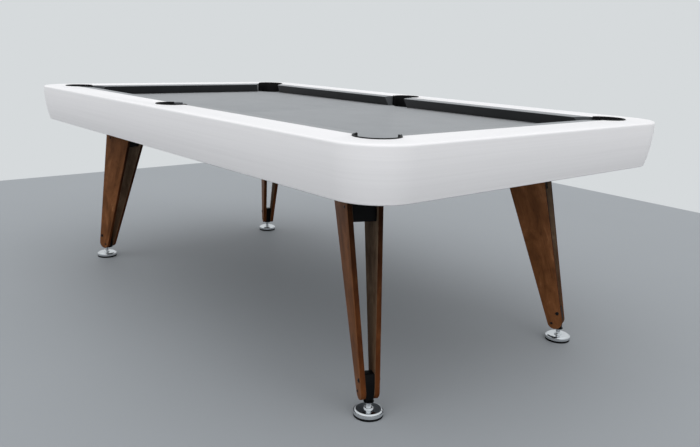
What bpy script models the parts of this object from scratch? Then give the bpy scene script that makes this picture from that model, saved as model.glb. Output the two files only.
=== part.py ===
"""Pool table: a white lacquered body with a slate bed, on four splayed walnut legs with screw feet.

Metres, +Z up. The origin is on the floor under the middle of the table, and X runs along its length.
Front is -Y and right is +X.
"""
import math

import bmesh
import bpy

for old in list(bpy.data.objects):
    bpy.data.objects.remove(old, do_unlink=True)

# Air left between pieces that touch
GAP = 0.0003

# Playing field, measured between the cushion noses, and the bed
FIELD_LENGTH = 1.980
FIELD_WIDTH = 0.990
BED_HEIGHT = 0.764
CLOTH = 0.001
SLATE = 0.019

# Cushions
CUSHION_WIDTH = 0.051
NOSE_HEIGHT = 0.037
NOSE_RADIUS = 0.003
NOSE_LOW_ANGLE = math.radians(216)
NOSE_HIGH_ANGLE = math.radians(112)
CUSHION_FOOT = 0.022
CUSHION_CROWN = 0.0008
CUSHION_BELOW_RAIL = 0.0008
CORNER_FACING_ANGLE = math.radians(40)
MIDDLE_FACING_ANGLE = math.radians(3)
FACING_CLEARANCE = 0.002

# White body: rail section and corners
RAIL_ABOVE_NOSE = 0.005
RAIL_WIDTH = 0.127
BODY_HEIGHT = 0.147
BODY_TUCK = 0.0178
TUCK_POWER = 2.2
TOP_EDGE = 0.0065
BOTTOM_EDGE = 0.004
SKIRT = 0.022
CORNER_INNER_RADIUS = 0.0176

# Pockets
CORNER_POCKET_RADIUS = 0.0628
MIDDLE_POCKET_RADIUS = 0.0545
POCKET_WALL = 0.004
POCKET_DEPTH = 0.100
POCKET_CLEARANCE = 0.0006
RIM_EARS = 0.030
RIM_PROUD = 0.0026
CORNER_POCKET_SHIFT = 0.0258
MIDDLE_POCKET_SHIFT = 0.0745

# Chassis beams, half-lapped where they cross
BEAM_WIDTH = 0.090
BEAM_HEIGHT = 0.060
BEAM_END_CLEARANCE = 0.002
INNER_CROSS_X = 0.260

# Legs: two boards each, in a plane turned about the foot's axis
FOOT_INSET_X = 0.2100
FOOT_INSET_Y = 0.2117
LEG_TURN = math.radians(23)
BOARD = 0.0156
BOARD_END_HEIGHT = 0.0715
BOARD_END_RADIUS = 0.0255
BOARD_END_SHIFT = -0.0115
BOARD_TOP_OUT = -0.108
BOARD_TOP_IN = -0.256
BOARDS_APART_LOW = 0.0400
BOARDS_APART_HIGH = 0.1005

# Leg bracket, lower block and the bolt through them
BRACKET_DROP = 0.132
BRACKET_SETBACK = 0.012
BRACKET_PLATE = 0.006
PLATE_LENGTH = 0.170
PLATE_WIDTH = 0.122
BLOCK_HEIGHT = 0.0790
BLOCK_OUT = 0.0105
BLOCK_IN = -0.028
BLOCK_SETBACK = 0.002
BOLT_RADIUS = 0.003
BOLT_HEAD_RADIUS = 0.0062
BOLT_HEAD = 0.003
BOLT_HEAD_FLAT = 0.75
BOLT_HEAD_RIM = 0.7
BOLT_CLEARANCE = 0.0006
BOLT_ABOVE_BORE = 0.0198
BOLT_SHIFT = -0.005

# Levelling foot
PAD_RADIUS = 0.0415
PAD = 0.0045
PAD_BEVEL = 0.0008
DISC_RADIUS = 0.0436
DISC = 0.0160
DISC_FLAT_RADIUS = 0.0352
DISC_ROUND = 0.0072
DISC_SHOULDER = math.radians(75)
BOSS_RADIUS = 0.0135
BOSS = 0.0045
BOSS_BEVEL = 0.0011
STUD_RADIUS = 0.008
STUD_LENGTH = 0.0532
STUD_CLEARANCE = 0.0005
STUD_TIP = 0.0016
BORE_DEPTH = 0.0415
COLLAR_RADIUS = 0.0152
COLLAR = 0.0032

# Facets
ARC_STEPS = 3
BARREL_STEPS = 6
CORNER_STEPS = 9
CROWN_STEPS = 4
POCKET_SIDES = 32
TURNED_SIDES = 28
SMOOTH_ANGLE = math.radians(32)

# Heights and half sizes that follow
RAIL_TOP = BED_HEIGHT + NOSE_HEIGHT + RAIL_ABOVE_NOSE
INNER_X = FIELD_LENGTH / 2 + CUSHION_WIDTH
INNER_Y = FIELD_WIDTH / 2 + CUSHION_WIDTH
CORNER_X = INNER_X - CORNER_INNER_RADIUS
CORNER_Y = INNER_Y - CORNER_INNER_RADIUS
FOOT_X = INNER_X + RAIL_WIDTH - FOOT_INSET_X
FOOT_Y = INNER_Y + RAIL_WIDTH - FOOT_INSET_Y
BODY_BOTTOM = RAIL_TOP - BODY_HEIGHT
SLATE_TOP = BED_HEIGHT - CLOTH - GAP
SLATE_BOTTOM = SLATE_TOP - SLATE
BEAM_TOP = SLATE_BOTTOM - GAP
BEAM_BOTTOM = BEAM_TOP - BEAM_HEIGHT
SKIRT_INSIDE = RAIL_WIDTH - BODY_TUCK - SKIRT
PLATE_BOTTOM = BEAM_BOTTOM - GAP - BRACKET_PLATE
BOARD_TOP = PLATE_BOTTOM - GAP
BRACKET_BOTTOM = BOARD_TOP - BRACKET_DROP
BOARD_BOTTOM = BOARD_END_HEIGHT - BOARD_END_RADIUS
LEG_TILT = math.atan2((BOARDS_APART_HIGH - BOARDS_APART_LOW) / 2, BOARD_TOP - BOARD_END_HEIGHT)
LEG_TOP_MIDDLE = (BOARD_TOP_OUT + BOARD_TOP_IN) / 2
CROSS_X = FOOT_X + LEG_TOP_MIDDLE * math.cos(LEG_TURN)
LONG_Y = FOOT_Y + LEG_TOP_MIDDLE * math.sin(LEG_TURN)
BORE_TOP = BOARD_BOTTOM + BORE_DEPTH
BOLT_HEIGHT = BORE_TOP + BOLT_ABOVE_BORE
DISC_BOTTOM = PAD + GAP
DISC_TOP = DISC_BOTTOM + DISC


def material(name, colour, roughness, metallic=0.0):
    made = bpy.data.materials.new(name)
    made.use_nodes = True
    shader = made.node_tree.nodes["Principled BSDF"]
    shader.inputs["Base Color"].default_value = (*colour, 1.0)
    shader.inputs["Roughness"].default_value = roughness
    shader.inputs["Metallic"].default_value = metallic
    return made


WHITE_LACQUER = material("white_lacquer", (0.86, 0.86, 0.87), 0.35)
GREY_CLOTH = material("grey_cloth", (0.37, 0.39, 0.41), 0.95)
SLATE_STONE = material("slate_stone", (0.12, 0.13, 0.14), 0.70)
BLACK_LINER = material("black_liner", (0.020, 0.021, 0.023), 0.55)
CHASSIS_WOOD = material("chassis_wood", (0.55, 0.42, 0.27), 0.75)
WALNUT = material("walnut", (0.17, 0.085, 0.045), 0.45)
BLACK_STEEL = material("black_steel", (0.012, 0.012, 0.013), 0.45, 0.6)
CHROME = material("chrome", (0.80, 0.81, 0.82), 0.08, 1.0)
BLACK_RUBBER = material("black_rubber", (0.015, 0.015, 0.016), 0.85)


def add_object(name, bm, finish, parent=None, location=(0, 0, 0), rotation=(0, 0, 0), smooth=False):
    """Turn a bmesh into a named object and place it."""
    bmesh.ops.recalc_face_normals(bm, faces=bm.faces)
    mesh = bpy.data.meshes.new(name)
    bm.to_mesh(mesh)
    bm.free()
    if smooth:
        mesh.shade_smooth()
        mesh.set_sharp_from_angle(angle=SMOOTH_ANGLE)
    if finish:
        mesh.materials.append(finish)
    made = bpy.data.objects.new(name, mesh)
    bpy.context.scene.collection.objects.link(made)
    made.parent = parent
    made.location = location
    made.rotation_euler = rotation
    return made


def add_helper(name, bm, parent=None, location=(0, 0, 0), rotation=(0, 0, 0)):
    """A shape that only cuts or joins another one."""
    made = add_object(name, bm, None, parent, location, rotation)
    made.hide_render = True
    made.display_type = "WIRE"
    return made


def boolean(target, helper, operation="DIFFERENCE"):
    step = target.modifiers.new(helper.name, "BOOLEAN")
    step.operation = operation
    step.object = helper
    step.solver = "EXACT"


def extruded(outline, plane, start, end):
    """A closed prism: an outline in the XZ or YZ plane, pulled from start to end along the third axis."""
    bm = bmesh.new()
    places = {
        "XZ": lambda u, v: (u, start, v),
        "YZ": lambda u, v: (start, u, v),
    }
    step = {"XZ": (0, end - start, 0), "YZ": (end - start, 0, 0)}[plane]
    face = bm.faces.new([bm.verts.new(places[plane](u, v)) for u, v in outline])
    pulled = bmesh.ops.extrude_face_region(bm, geom=[face])
    moved = [item for item in pulled["geom"] if isinstance(item, bmesh.types.BMVert)]
    bmesh.ops.translate(bm, verts=moved, vec=step)
    return bm


def turned(profile, sides):
    """A closed solid of revolution about Z from an outline that starts and ends on the axis."""
    bm = bmesh.new()
    verts = [bm.verts.new((r, 0, z)) for r, z in profile]
    edges = [bm.edges.new(pair) for pair in zip(verts, verts[1:])]
    bmesh.ops.spin(
        bm,
        geom=verts + edges,
        cent=(0, 0, 0),
        axis=(0, 0, 1),
        angle=2 * math.pi,
        steps=sides,
        use_merge=True,
    )
    bmesh.ops.remove_doubles(bm, verts=bm.verts, dist=1e-6)
    return bm


def box(low, high):
    """A closed box between two corners."""
    bm = bmesh.new()
    bmesh.ops.create_cube(bm, size=1.0)
    size = [b - a for a, b in zip(low, high)]
    middle = [(a + b) / 2 for a, b in zip(low, high)]
    bmesh.ops.scale(bm, verts=bm.verts, vec=size)
    bmesh.ops.translate(bm, verts=bm.verts, vec=middle)
    return bm


def arc(centre, radius, start, end, steps):
    """Points along an arc in a 2-D outline, angles in radians."""
    points = []
    for i in range(steps + 1):
        angle = start + (end - start) * i / steps
        points.append((centre[0] + radius * math.cos(angle), centre[1] + radius * math.sin(angle)))
    return points


# Pockets: where each cup stands, and the direction that its rim faces away from the field
CORNER_POCKET_X = FIELD_LENGTH / 2 + CORNER_POCKET_SHIFT
CORNER_POCKET_Y = FIELD_WIDTH / 2 + CORNER_POCKET_SHIFT
MIDDLE_POCKET_Y = FIELD_WIDTH / 2 + MIDDLE_POCKET_SHIFT
POCKETS = {
    "back_right": (CORNER_POCKET_X, CORNER_POCKET_Y, 45, CORNER_POCKET_RADIUS),
    "back_middle": (0.0, MIDDLE_POCKET_Y, 90, MIDDLE_POCKET_RADIUS),
    "back_left": (-CORNER_POCKET_X, CORNER_POCKET_Y, 135, CORNER_POCKET_RADIUS),
    "front_left": (-CORNER_POCKET_X, -CORNER_POCKET_Y, 225, CORNER_POCKET_RADIUS),
    "front_middle": (0.0, -MIDDLE_POCKET_Y, 270, MIDDLE_POCKET_RADIUS),
    "front_right": (CORNER_POCKET_X, -CORNER_POCKET_Y, 315, CORNER_POCKET_RADIUS),
}
POCKET_BOTTOM = BED_HEIGHT - POCKET_DEPTH
CUT_OVER = 0.05


def pocket_cutters():
    """One round cutter for each pocket, a little larger than its liner."""
    low = POCKET_BOTTOM - CUT_OVER
    high = RAIL_TOP + CUT_OVER
    cutters = {}
    for place, (x, y, heading, liner_radius) in POCKETS.items():
        radius = liner_radius + POCKET_CLEARANCE
        bm = turned([(0, high), (radius, high), (radius, low), (0, low)], POCKET_SIDES)
        turn = (0, 0, math.radians(heading))
        cutters[place] = add_helper("cut_" + place, bm, None, (x, y, 0), turn)
    return cutters


def pocket_liners():
    """Black cups: closed below the bed, open towards the field above it, with a thin rim round the back."""
    top = RAIL_TOP + RIM_PROUD
    floor = POCKET_BOTTOM + POCKET_WALL
    for place, (x, y, heading, radius) in POCKETS.items():
        inside = radius - POCKET_WALL
        profile = [
            (0, floor),
            (inside, floor),
            (inside, top),
            (radius, top),
            (radius, POCKET_BOTTOM),
            (0, POCKET_BOTTOM),
        ]
        reach = radius + CUT_OVER
        turn = (0, 0, math.radians(heading))
        liner = add_object(
            "pocket_" + place, turned(profile, POCKET_SIDES), BLACK_LINER, None, (x, y, 0), turn, True
        )
        mouth = box((-reach, -reach, SLATE_TOP), (-RIM_EARS, reach, top + CUT_OVER))
        boolean(liner, add_helper("mouth_" + place, mouth, None, (x, y, 0), turn))


def rail_profile():
    """Rail section as (outwards from the inner edge, height): a slab, a skirt and a barrel-shaped face."""
    tucked = RAIL_WIDTH - BODY_TUCK
    points = [(0, SLATE_BOTTOM), (SKIRT_INSIDE, SLATE_BOTTOM), (SKIRT_INSIDE, BODY_BOTTOM)]
    corner = (tucked - BOTTOM_EDGE, BODY_BOTTOM + BOTTOM_EDGE)
    points += arc(corner, BOTTOM_EDGE, -math.pi / 2, 0, ARC_STEPS)
    fall = BODY_HEIGHT - TOP_EDGE - BOTTOM_EDGE
    for i in range(BARREL_STEPS - 1, 0, -1):
        depth = i / BARREL_STEPS
        points.append((RAIL_WIDTH - BODY_TUCK * depth**TUCK_POWER, RAIL_TOP - TOP_EDGE - fall * depth))
    points += arc((RAIL_WIDTH - TOP_EDGE, RAIL_TOP - TOP_EDGE), TOP_EDGE, 0, math.pi / 2, ARC_STEPS)
    points.append((0, RAIL_TOP))
    return points


def body(cutters):
    """Four straight rails and four rounded corner blocks, cut where the pockets pass."""
    rails = {
        "side_rail_back": (0.0, INNER_Y, 0, CORNER_X, ("back_left", "back_middle", "back_right")),
        "side_rail_front": (0.0, -INNER_Y, 180, CORNER_X, ("front_left", "front_middle", "front_right")),
        "end_rail_right": (INNER_X, 0.0, -90, CORNER_Y, ("back_right", "front_right")),
        "end_rail_left": (-INNER_X, 0.0, 90, CORNER_Y, ("back_left", "front_left")),
    }
    for name, (x, y, heading, half, places) in rails.items():
        bm = extruded(rail_profile(), "YZ", GAP - half, half - GAP)
        turn = (0, 0, math.radians(heading))
        rail = add_object(name, bm, WHITE_LACQUER, None, (x, y, 0), turn, True)
        for place in places:
            boolean(rail, cutters[place])
    corners = {
        "back_right": (CORNER_X, CORNER_Y, 0),
        "back_left": (-CORNER_X, CORNER_Y, 90),
        "front_left": (-CORNER_X, -CORNER_Y, 180),
        "front_right": (CORNER_X, -CORNER_Y, 270),
    }
    for place, (x, y, heading) in corners.items():
        bm = bmesh.new()
        section = [bm.verts.new((CORNER_INNER_RADIUS + out, 0, z)) for out, z in rail_profile()]
        bmesh.ops.spin(
            bm,
            geom=[bm.faces.new(section)],
            cent=(0, 0, 0),
            axis=(0, 0, 1),
            angle=math.pi / 2,
            steps=CORNER_STEPS,
        )
        turn = (0, 0, math.radians(heading))
        block = add_object("corner_" + place, bm, WHITE_LACQUER, None, (x, y, 0), turn, True)
        boolean(block, cutters[place])


def bed(cutters):
    """The slate, and the cloth stretched over it, both notched for the pockets."""
    half_x = INNER_X - GAP
    half_y = INNER_Y - GAP
    layers = {
        "slate_bed": (SLATE_BOTTOM, SLATE_TOP, SLATE_STONE),
        "bed_cloth": (BED_HEIGHT - CLOTH, BED_HEIGHT, GREY_CLOTH),
    }
    for name, (low, high, finish) in layers.items():
        layer = add_object(name, box((-half_x, -half_y, low), (half_x, half_y, high)), finish)
        for cutter in cutters.values():
            boolean(layer, cutter)


def cushion_profile():
    """Cushion section as (outwards from the nose, height): round nose, crowned top, raked underside."""
    back = CUSHION_WIDTH - GAP
    low = BED_HEIGHT + GAP
    top = RAIL_TOP - CUSHION_BELOW_RAIL
    nose = (NOSE_RADIUS, BED_HEIGHT + NOSE_HEIGHT)
    points = [(back, low), (CUSHION_FOOT, low)]
    points += arc(nose, NOSE_RADIUS, NOSE_LOW_ANGLE, NOSE_HIGH_ANGLE, ARC_STEPS)
    start = points[-1]
    for i in range(1, CROWN_STEPS):
        along = i / CROWN_STEPS
        rise = start[1] + (top - start[1]) * along + CUSHION_CROWN * 4 * along * (1 - along)
        points.append((start[0] + (back - start[0]) * along, rise))
    points.append((back, top))
    return points


def facing(shift_along, shift_out, angle, radius):
    """A line clear of the liner where a cushion ends beside a pocket, as its start at the nose and slope."""
    clear = radius + FACING_CLEARANCE
    along = shift_along - clear * math.cos(angle)
    out = shift_out + clear * math.sin(angle)
    slope = math.tan(angle)
    return along - out * slope, slope


def cushions():
    """Six cushions, each cut at its ends to open the pockets."""
    corner_nose, corner_slope = facing(
        CORNER_POCKET_SHIFT, CORNER_POCKET_SHIFT, CORNER_FACING_ANGLE, CORNER_POCKET_RADIUS
    )
    middle_nose, middle_slope = facing(0.0, MIDDLE_POCKET_SHIFT, MIDDLE_FACING_ANGLE, MIDDLE_POCKET_RADIUS)
    long_half = FIELD_LENGTH / 2
    end_half = FIELD_WIDTH / 2
    middle_start = (-middle_nose, -middle_slope)
    middle_end = (middle_nose, middle_slope)
    side_start = (-long_half - corner_nose, -corner_slope)
    side_end = (long_half + corner_nose, corner_slope)
    cross_start = (-end_half - corner_nose, -corner_slope)
    cross_end = (end_half + corner_nose, corner_slope)
    runs = {
        "cushion_back_right": (0.0, end_half, 0, middle_start, side_end),
        "cushion_back_left": (0.0, end_half, 0, side_start, middle_end),
        "cushion_front_left": (0.0, -end_half, 180, middle_start, side_end),
        "cushion_front_right": (0.0, -end_half, 180, side_start, middle_end),
        "cushion_end_right": (long_half, 0.0, -90, cross_start, cross_end),
        "cushion_end_left": (-long_half, 0.0, 90, cross_start, cross_end),
    }
    for name, (x, y, heading, low_end, high_end) in runs.items():
        bm = extruded(cushion_profile(), "YZ", -1.0, 1.0)
        for vert in bm.verts:
            nose, slope = low_end if vert.co.x < 0 else high_end
            vert.co.x = nose + slope * vert.co.y
        add_object(name, bm, GREY_CLOTH, None, (x, y, 0), (0, 0, math.radians(heading)), True)


def lapped_beam(half, crossings, notch_on_top):
    """A beam's side outline with a half-lap notch at each crossing."""
    lap = BEAM_WIDTH / 2 + GAP
    middle = (BEAM_TOP + BEAM_BOTTOM) / 2
    plain, notched = (BEAM_BOTTOM, BEAM_TOP) if notch_on_top else (BEAM_TOP, BEAM_BOTTOM)
    cut = middle - GAP / 2 if notch_on_top else middle + GAP / 2
    points = [(-half, plain), (-half, notched)]
    for place in sorted(crossings):
        points += [(place - lap, notched), (place - lap, cut), (place + lap, cut), (place + lap, notched)]
    return points + [(half, notched), (half, plain)]


def chassis():
    """Two long beams and four cross beams that carry the slate and the rails."""
    crossings = (-CROSS_X, -INNER_CROSS_X, INNER_CROSS_X, CROSS_X)
    long_half = INNER_X + SKIRT_INSIDE - BEAM_END_CLEARANCE
    cross_half = INNER_Y + SKIRT_INSIDE - BEAM_END_CLEARANCE
    for name, y in (("long_beam_front", -LONG_Y), ("long_beam_back", LONG_Y)):
        bm = extruded(lapped_beam(long_half, crossings, True), "XZ", -BEAM_WIDTH / 2, BEAM_WIDTH / 2)
        add_object(name, bm, CHASSIS_WOOD, None, (0, y, 0))
    names = ("cross_beam_left", "cross_beam_mid_left", "cross_beam_mid_right", "cross_beam_right")
    for name, x in zip(names, crossings):
        outline = lapped_beam(cross_half, (-LONG_Y, LONG_Y), False)
        bm = extruded(outline, "YZ", -BEAM_WIDTH / 2, BEAM_WIDTH / 2)
        add_object(name, bm, CHASSIS_WOOD, None, (x, 0, 0))


def tangent_angle(point, side):
    """Angle on the board's round end where a straight edge from a top corner touches it."""
    dx = point[0] - BOARD_END_SHIFT
    dz = point[1] - BOARD_END_HEIGHT
    return math.atan2(dz, dx) + side * math.acos(BOARD_END_RADIUS / math.hypot(dx, dz))


BOARD_CORNER_OUT = (BOARD_TOP_OUT, BOARD_TOP)
BOARD_CORNER_IN = (BOARD_TOP_IN, BOARD_TOP)


def board_outline():
    """Leg board seen from its broad side, as (outwards from the foot's axis, height)."""
    end = (BOARD_END_SHIFT, BOARD_END_HEIGHT)
    outer = tangent_angle(BOARD_CORNER_OUT, -1)
    inner = tangent_angle(BOARD_CORNER_IN, 1)
    if inner > outer:
        inner -= 2 * math.pi
    points = arc(end, BOARD_END_RADIUS, outer, inner, 3 * ARC_STEPS)
    return points + [BOARD_CORNER_IN, BOARD_CORNER_OUT]


def edge_at(corner, side, height):
    """How far out a board's straight edge is at a height."""
    angle = tangent_angle(corner, side)
    x = BOARD_END_SHIFT + BOARD_END_RADIUS * math.cos(angle)
    z = BOARD_END_HEIGHT + BOARD_END_RADIUS * math.sin(angle)
    return x + (corner[0] - x) * (height - z) / (corner[1] - z)


def between_boards(height):
    """Half the clear width between a leg's boards at a height."""
    middle = BOARDS_APART_LOW / 2 + (height - BOARD_END_HEIGHT) * math.tan(LEG_TILT)
    return middle - BOARD / 2 / math.cos(LEG_TILT) - GAP


def wedge(low_z, high_z, low_out, low_in, high_out, high_in):
    """A six-sided block that fills the space between a leg's boards from one height to another."""
    bm = box((-1, -1, -1), (1, 1, 1))
    for vert in bm.verts:
        z, out, inn = (low_z, low_out, low_in) if vert.co.z < 0 else (high_z, high_out, high_in)
        half = between_boards(z)
        vert.co = (out if vert.co.x > 0 else inn, math.copysign(half, vert.co.y), z)
    return bm


def bolt_profile(half_grip):
    """Through bolt with a low round head at each end, turned about its own axis."""
    end = half_grip + BOLT_HEAD
    rim = BOLT_HEAD_RIM * BOLT_HEAD
    flat = BOLT_HEAD_FLAT * BOLT_HEAD_RADIUS
    return [
        (0, end),
        (flat, end),
        (BOLT_HEAD_RADIUS, half_grip + rim),
        (BOLT_HEAD_RADIUS, half_grip),
        (BOLT_RADIUS, half_grip),
        (BOLT_RADIUS, -half_grip),
        (BOLT_HEAD_RADIUS, -half_grip),
        (BOLT_HEAD_RADIUS, -half_grip - rim),
        (flat, -end),
        (0, -end),
    ]


def add_leg(name, leg):
    """Two boards, the bracket between their tops, the block between their lower ends, and the bolt."""
    through = BOARD / math.cos(LEG_TILT)
    grip = between_boards(BOLT_HEIGHT) + through + BOLT_HEAD_RADIUS * math.sin(LEG_TILT) + 2 * GAP
    bolt_place = (BOLT_SHIFT, 0, BOLT_HEIGHT)
    across = (math.pi / 2, 0, 0)
    reach = grip + BOLT_HEAD + CUT_OVER
    hole_radius = BOLT_RADIUS + BOLT_CLEARANCE
    hole = turned([(0, reach), (hole_radius, reach), (hole_radius, -reach), (0, -reach)], TURNED_SIDES // 2)
    bolt_hole = add_helper(name + "_bolt_hole", hole, leg, bolt_place, across)
    bolt = turned(bolt_profile(grip), TURNED_SIDES // 2)
    add_object(name + "_bolt", bolt, BLACK_STEEL, leg, bolt_place, across, True)

    outline = [(r, z - BOARD_END_HEIGHT) for r, z in board_outline()]
    for side, sign in (("left", 1), ("right", -1)):
        bm = extruded(outline, "XZ", -BOARD / 2, BOARD / 2)
        place = (0, sign * BOARDS_APART_LOW / 2, BOARD_END_HEIGHT)
        tilt = (-sign * LEG_TILT, 0, 0)
        plank = add_object(f"{name}_board_{side}", bm, WALNUT, leg, place, tilt, True)
        boolean(plank, bolt_hole)

    bracket = wedge(
        BRACKET_BOTTOM,
        PLATE_BOTTOM + BRACKET_PLATE / 2,
        edge_at(BOARD_CORNER_OUT, -1, BRACKET_BOTTOM) - BRACKET_SETBACK,
        edge_at(BOARD_CORNER_IN, 1, BRACKET_BOTTOM) + BRACKET_SETBACK,
        BOARD_TOP_OUT - BRACKET_SETBACK,
        BOARD_TOP_IN + BRACKET_SETBACK,
    )
    web = add_object(name + "_bracket", bracket, BLACK_STEEL, leg)
    plate = box(
        (LEG_TOP_MIDDLE - PLATE_LENGTH / 2, -PLATE_WIDTH / 2, PLATE_BOTTOM),
        (LEG_TOP_MIDDLE + PLATE_LENGTH / 2, PLATE_WIDTH / 2, PLATE_BOTTOM + BRACKET_PLATE),
    )
    boolean(web, add_helper(name + "_plate", plate, leg), "UNION")

    high = BOARD_BOTTOM + BLOCK_HEIGHT
    side = [
        (BLOCK_IN, BOARD_BOTTOM),
        (BLOCK_OUT, BOARD_BOTTOM),
        (BLOCK_OUT, BORE_TOP),
        (edge_at(BOARD_CORNER_OUT, -1, high) - BLOCK_SETBACK, high),
        (BLOCK_IN, high),
    ]
    filler = extruded(side, "XZ", -1.0, 1.0)
    for vert in filler.verts:
        vert.co.y = math.copysign(between_boards(vert.co.z), vert.co.y)
    block = add_object(name + "_block", filler, BLACK_STEEL, leg)
    bore_radius = STUD_RADIUS + STUD_CLEARANCE
    low = BOARD_BOTTOM - CUT_OVER
    bore = turned([(0, BORE_TOP), (bore_radius, BORE_TOP), (bore_radius, low), (0, low)], TURNED_SIDES)
    boolean(block, add_helper(name + "_bore", bore, leg))
    boolean(block, bolt_hole)


def add_foot(name, leg):
    """Lock collar under the block, chromed disc with its stud, and the rubber pad that meets the floor."""
    collar_top = BOARD_BOTTOM - GAP
    collar_low = collar_top - COLLAR
    bore = STUD_RADIUS + STUD_CLEARANCE
    bush = [(0, collar_top), (COLLAR_RADIUS, collar_top), (COLLAR_RADIUS, collar_low), (0, collar_low)]
    ring = add_object(name + "_collar", turned(bush, TURNED_SIDES), BLACK_STEEL, leg, smooth=True)
    high = collar_top + CUT_OVER
    low = collar_low - CUT_OVER
    hole = turned([(0, high), (bore, high), (bore, low), (0, low)], TURNED_SIDES)
    boolean(ring, add_helper(name + "_collar_hole", hole, leg))

    middle = DISC_RADIUS - DISC_ROUND
    boss_top = DISC_TOP + BOSS
    stud_top = DISC_TOP + STUD_LENGTH
    profile = [
        (0, stud_top),
        (STUD_RADIUS - STUD_TIP, stud_top),
        (STUD_RADIUS, stud_top - STUD_TIP),
        (STUD_RADIUS, boss_top),
        (BOSS_RADIUS - BOSS_BEVEL, boss_top),
        (BOSS_RADIUS, boss_top - BOSS_BEVEL),
        (BOSS_RADIUS, DISC_TOP),
        (DISC_FLAT_RADIUS, DISC_TOP),
    ]
    profile += arc((middle, DISC_TOP - DISC_ROUND), DISC_ROUND, DISC_SHOULDER, 0, ARC_STEPS)
    profile += arc((middle, DISC_BOTTOM + DISC_ROUND), DISC_ROUND, 0, -math.pi / 2, ARC_STEPS)
    profile.append((0, DISC_BOTTOM))
    add_object(name + "_disc", turned(profile, TURNED_SIDES), CHROME, leg, smooth=True)

    pad = [
        (0, PAD),
        (PAD_RADIUS, PAD),
        (PAD_RADIUS, PAD_BEVEL),
        (PAD_RADIUS - PAD_BEVEL, 0),
        (0, 0),
    ]
    add_object(name + "_pad", turned(pad, TURNED_SIDES), BLACK_RUBBER, leg, smooth=True)


def legs():
    """Four legs, each hung on an empty on its foot's axis, with X pointing out along the leg's plane."""
    corners = {
        "back_right": (1, 1, LEG_TURN),
        "back_left": (-1, 1, math.pi - LEG_TURN),
        "front_left": (-1, -1, math.pi + LEG_TURN),
        "front_right": (1, -1, -LEG_TURN),
    }
    for place, (sx, sy, heading) in corners.items():
        leg = bpy.data.objects.new("leg_axis_" + place, None)
        bpy.context.scene.collection.objects.link(leg)
        leg.location = (sx * FOOT_X, sy * FOOT_Y, 0)
        leg.rotation_euler = (0, 0, heading)
        add_leg("leg_" + place, leg)
        add_foot("foot_" + place, leg)


def main():
    cutters = pocket_cutters()
    body(cutters)
    bed(cutters)
    cushions()
    pocket_liners()
    chassis()
    legs()


main()
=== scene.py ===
import math

import bpy
from mathutils import Matrix, Vector


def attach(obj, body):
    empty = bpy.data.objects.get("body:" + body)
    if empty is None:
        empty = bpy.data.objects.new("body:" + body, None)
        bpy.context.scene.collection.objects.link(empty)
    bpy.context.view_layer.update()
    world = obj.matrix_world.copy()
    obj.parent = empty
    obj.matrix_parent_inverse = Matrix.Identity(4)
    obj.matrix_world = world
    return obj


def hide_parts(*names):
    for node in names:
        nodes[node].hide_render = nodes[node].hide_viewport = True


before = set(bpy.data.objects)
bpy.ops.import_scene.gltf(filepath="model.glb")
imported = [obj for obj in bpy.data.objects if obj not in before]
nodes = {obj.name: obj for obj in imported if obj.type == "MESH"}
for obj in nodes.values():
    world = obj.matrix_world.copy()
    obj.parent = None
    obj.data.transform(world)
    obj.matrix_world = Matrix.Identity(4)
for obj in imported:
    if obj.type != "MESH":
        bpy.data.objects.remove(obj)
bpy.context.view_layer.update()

# Sizes in metres, as in the part's own source
GAP = 0.0003
FIELD_LENGTH = 1.980
FIELD_WIDTH = 0.990
BED_HEIGHT = 0.764
CLOTH = 0.001
SLATE_TOP = 0.7627
SLATE_BOTTOM = 0.7437
RAIL_TOP = 0.806
BODY_BOTTOM = 0.659
INNER_X = 1.041
INNER_Y = 0.546
RAIL_WIDTH = 0.127
BODY_TUCK = 0.0178
TUCK_POWER = 2.2
TOP_EDGE = 0.0065
BOTTOM_EDGE = 0.004
SKIRT = 0.022
CORNER_INNER_RADIUS = 0.0176
CORNER_X = INNER_X - CORNER_INNER_RADIUS
CORNER_Y = INNER_Y - CORNER_INNER_RADIUS

CUSHION_WIDTH = 0.051
NOSE_HEIGHT = 0.037
NOSE_RADIUS = 0.003
NOSE_LOW_ANGLE = math.radians(216)
NOSE_HIGH_ANGLE = math.radians(112)
CUSHION_FOOT = 0.022
CUSHION_CROWN = 0.0008
CUSHION_BELOW_RAIL = 0.0008
CORNER_FACING_ANGLE = math.radians(40)
MIDDLE_FACING_ANGLE = math.radians(3)
FACING_CLEARANCE = 0.002

CORNER_POCKET_RADIUS = 0.0628
MIDDLE_POCKET_RADIUS = 0.0545
POCKET_WALL = 0.004
POCKET_BOTTOM = 0.664
POCKET_CLEARANCE = 0.0006
RIM_EARS = 0.030
RIM_PROUD = 0.0026
CORNER_POCKET_SHIFT = 0.0258
MIDDLE_POCKET_SHIFT = 0.0745

FOOT_X = 0.958
FOOT_Y = 0.4613
LEG_TURN = math.radians(23)
BOARD = 0.0156
BOARD_TOP = 0.6768
BOARD_BOTTOM = 0.046
BOARD_END_HEIGHT = 0.0715
BOARD_END_RADIUS = 0.0255
BOARD_END_SHIFT = -0.0115
BOARD_TOP_OUT = -0.108
BOARD_TOP_IN = -0.256
BOARD_CORNER_OUT = (BOARD_TOP_OUT, BOARD_TOP)
BOARD_CORNER_IN = (BOARD_TOP_IN, BOARD_TOP)
BOARDS_APART_LOW = 0.0400
BOARDS_APART_HIGH = 0.1005
LEG_TILT = math.atan2((BOARDS_APART_HIGH - BOARDS_APART_LOW) / 2, BOARD_TOP - BOARD_END_HEIGHT)
LEG_TOP_MIDDLE = (BOARD_TOP_OUT + BOARD_TOP_IN) / 2
PLATE_BOTTOM = 0.6771
BRACKET_BOTTOM = 0.5448
BRACKET_SETBACK = 0.012
BRACKET_PLATE = 0.006
PLATE_LENGTH = 0.170
PLATE_WIDTH = 0.122
BLOCK_HEIGHT = 0.0790
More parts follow.
